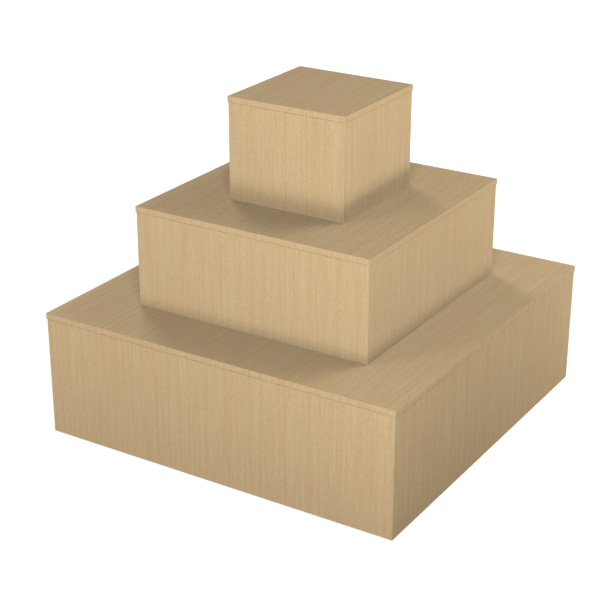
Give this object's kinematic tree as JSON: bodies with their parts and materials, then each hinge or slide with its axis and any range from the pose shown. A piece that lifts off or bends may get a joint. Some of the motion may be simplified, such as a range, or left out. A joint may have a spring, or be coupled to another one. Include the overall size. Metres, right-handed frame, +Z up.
{
  "type": "tiered display table",
  "caption": "Stepped pyramid of three square laminated boxes for shop displays; the upper tiers lift off and the base stands on levellers.",
  "frame": {"origin": "on the floor under the centre of the base, with the levellers screwed right in", "axes": "+Z up through the centres of the three tiers, -Y the front face of the table, +X along the front to the right"},
  "size_m": [1.2192, 1.2192, 1.0541],
  "materials": {
    "oak_laminate": "satin straight-grain oak laminate on chipboard",
    "edge_banding": "satin wood-grain edge band",
    "softwood_batten": "planed, unfinished",
    "chipboard_rib": "raw chipboard",
    "zinc_plated_steel": "bright zinc plate",
    "beech_dowel": "turned beech",
    "brass_socket": "satin",
    "black_nylon": "moulded nylon"
  },
  "bodies": {
    "base": {"base_top_panel": "oak_laminate", "base_edge_bands": "edge_banding", "base_front_panel": "oak_laminate", "base_right_panel": "oak_laminate", "base_back_panel": "oak_laminate", "base_left_panel": "oak_laminate", "base_post_front_left": "softwood_batten", "base_post_front_right": "softwood_batten", "base_post_back_right": "softwood_batten", "base_post_back_left": "softwood_batten", "base_front_cleat": "softwood_batten", "base_right_cleat": "softwood_batten", "base_back_cleat": "softwood_batten", "base_left_cleat": "softwood_batten", "base_rib_lengthwise": "chipboard_rib", "base_rib_crosswise": "chipboard_rib", "base_screws": "zinc_plated_steel", "base_pin_sockets": "brass_socket", "base_leveller_inserts": "zinc_plated_steel"},
    "middle_tier": {"middle_top_panel": "oak_laminate", "middle_edge_bands": "edge_banding", "middle_front_panel": "oak_laminate", "middle_right_panel": "oak_laminate", "middle_back_panel": "oak_laminate", "middle_left_panel": "oak_laminate", "middle_post_front_left": "softwood_batten", "middle_post_front_right": "softwood_batten", "middle_post_back_right": "softwood_batten", "middle_post_back_left": "softwood_batten", "middle_front_cleat": "softwood_batten", "middle_right_cleat": "softwood_batten", "middle_back_cleat": "softwood_batten", "middle_left_cleat": "softwood_batten", "middle_rib_lengthwise": "chipboard_rib", "middle_rib_crosswise": "chipboard_rib", "middle_screws": "zinc_plated_steel", "middle_pin_sockets": "brass_socket", "middle_locating_pins": "beech_dowel"},
    "upper_tier": {"upper_top_panel": "oak_laminate", "upper_edge_bands": "edge_banding", "upper_front_panel": "oak_laminate", "upper_right_panel": "oak_laminate", "upper_back_panel": "oak_laminate", "upper_left_panel": "oak_laminate", "upper_post_front_left": "softwood_batten", "upper_post_front_right": "softwood_batten", "upper_post_back_right": "softwood_batten", "upper_post_back_left": "softwood_batten", "upper_screws": "zinc_plated_steel", "upper_dowels": "beech_dowel", "upper_locating_pins": "beech_dowel"},
    "leveller_pad_front_left": {"leveller_pad_front_left": "black_nylon"},
    "leveller_stem_front_left": {"leveller_stem_front_left": "zinc_plated_steel"},
    "leveller_pad_front_right": {"leveller_pad_front_right": "black_nylon"},
    "leveller_stem_front_right": {"leveller_stem_front_right": "zinc_plated_steel"},
    "leveller_pad_back_right": {"leveller_pad_back_right": "black_nylon"},
    "leveller_stem_back_right": {"leveller_stem_back_right": "zinc_plated_steel"},
    "leveller_pad_back_left": {"leveller_pad_back_left": "black_nylon"},
    "leveller_stem_back_left": {"leveller_stem_back_left": "zinc_plated_steel"}
  },
  "joints": [
    {"name": "middle_tier_lift", "type": "slide", "parent": "base", "child": "middle_tier", "axis": [0, 0, 1], "range_m": [0, 0.2]},
    {"name": "upper_tier_lift", "type": "slide", "parent": "middle_tier", "child": "upper_tier", "axis": [0, 0, 1], "range_m": [0, 0.2]},
    {"name": "leveller_travel_front_left", "type": "slide", "parent": "base", "child": "leveller_pad_front_left", "axis": [0, 0, -1], "range_m": [0, 0.012]},
    {"name": "leveller_turn_front_left", "type": "hinge", "parent": "leveller_pad_front_left", "child": "leveller_stem_front_left", "pos_m": [-0.56955, -0.56955, 0.02], "axis": [0, 0, -1], "range_deg": [0, 3456.5]},
    {"name": "leveller_travel_front_right", "type": "slide", "parent": "base", "child": "leveller_pad_front_right", "axis": [0, 0, -1], "range_m": [0, 0.012]},
    {"name": "leveller_turn_front_right", "type": "hinge", "parent": "leveller_pad_front_right", "child": "leveller_stem_front_right", "pos_m": [0.56955, -0.56955, 0.02], "axis": [0, 0, -1], "range_deg": [0, 3456.5]},
    {"name": "leveller_travel_back_right", "type": "slide", "parent": "base", "child": "leveller_pad_back_right", "axis": [0, 0, -1], "range_m": [0, 0.012]},
    {"name": "leveller_turn_back_right", "type": "hinge", "parent": "leveller_pad_back_right", "child": "leveller_stem_back_right", "pos_m": [0.56955, 0.56955, 0.02], "axis": [0, 0, -1], "range_deg": [0, 3456.5]},
    {"name": "leveller_travel_back_left", "type": "slide", "parent": "base", "child": "leveller_pad_back_left", "axis": [0, 0, -1], "range_m": [0, 0.012]},
    {"name": "leveller_turn_back_left", "type": "hinge", "parent": "leveller_pad_back_left", "child": "leveller_stem_back_left", "pos_m": [-0.56955, 0.56955, 0.02], "axis": [0, 0, -1], "range_deg": [0, 3456.5]}
  ],
  "couplings": [
    {"joint": "leveller_turn_front_left", "follows": "leveller_travel_front_left", "rad_per_m": 5026.5},
    {"joint": "leveller_turn_front_right", "follows": "leveller_travel_front_right", "rad_per_m": 5026.5},
    {"joint": "leveller_turn_back_right", "follows": "leveller_travel_back_right", "rad_per_m": 5026.5},
    {"joint": "leveller_turn_back_left", "follows": "leveller_travel_back_left", "rad_per_m": 5026.5}
  ]
}
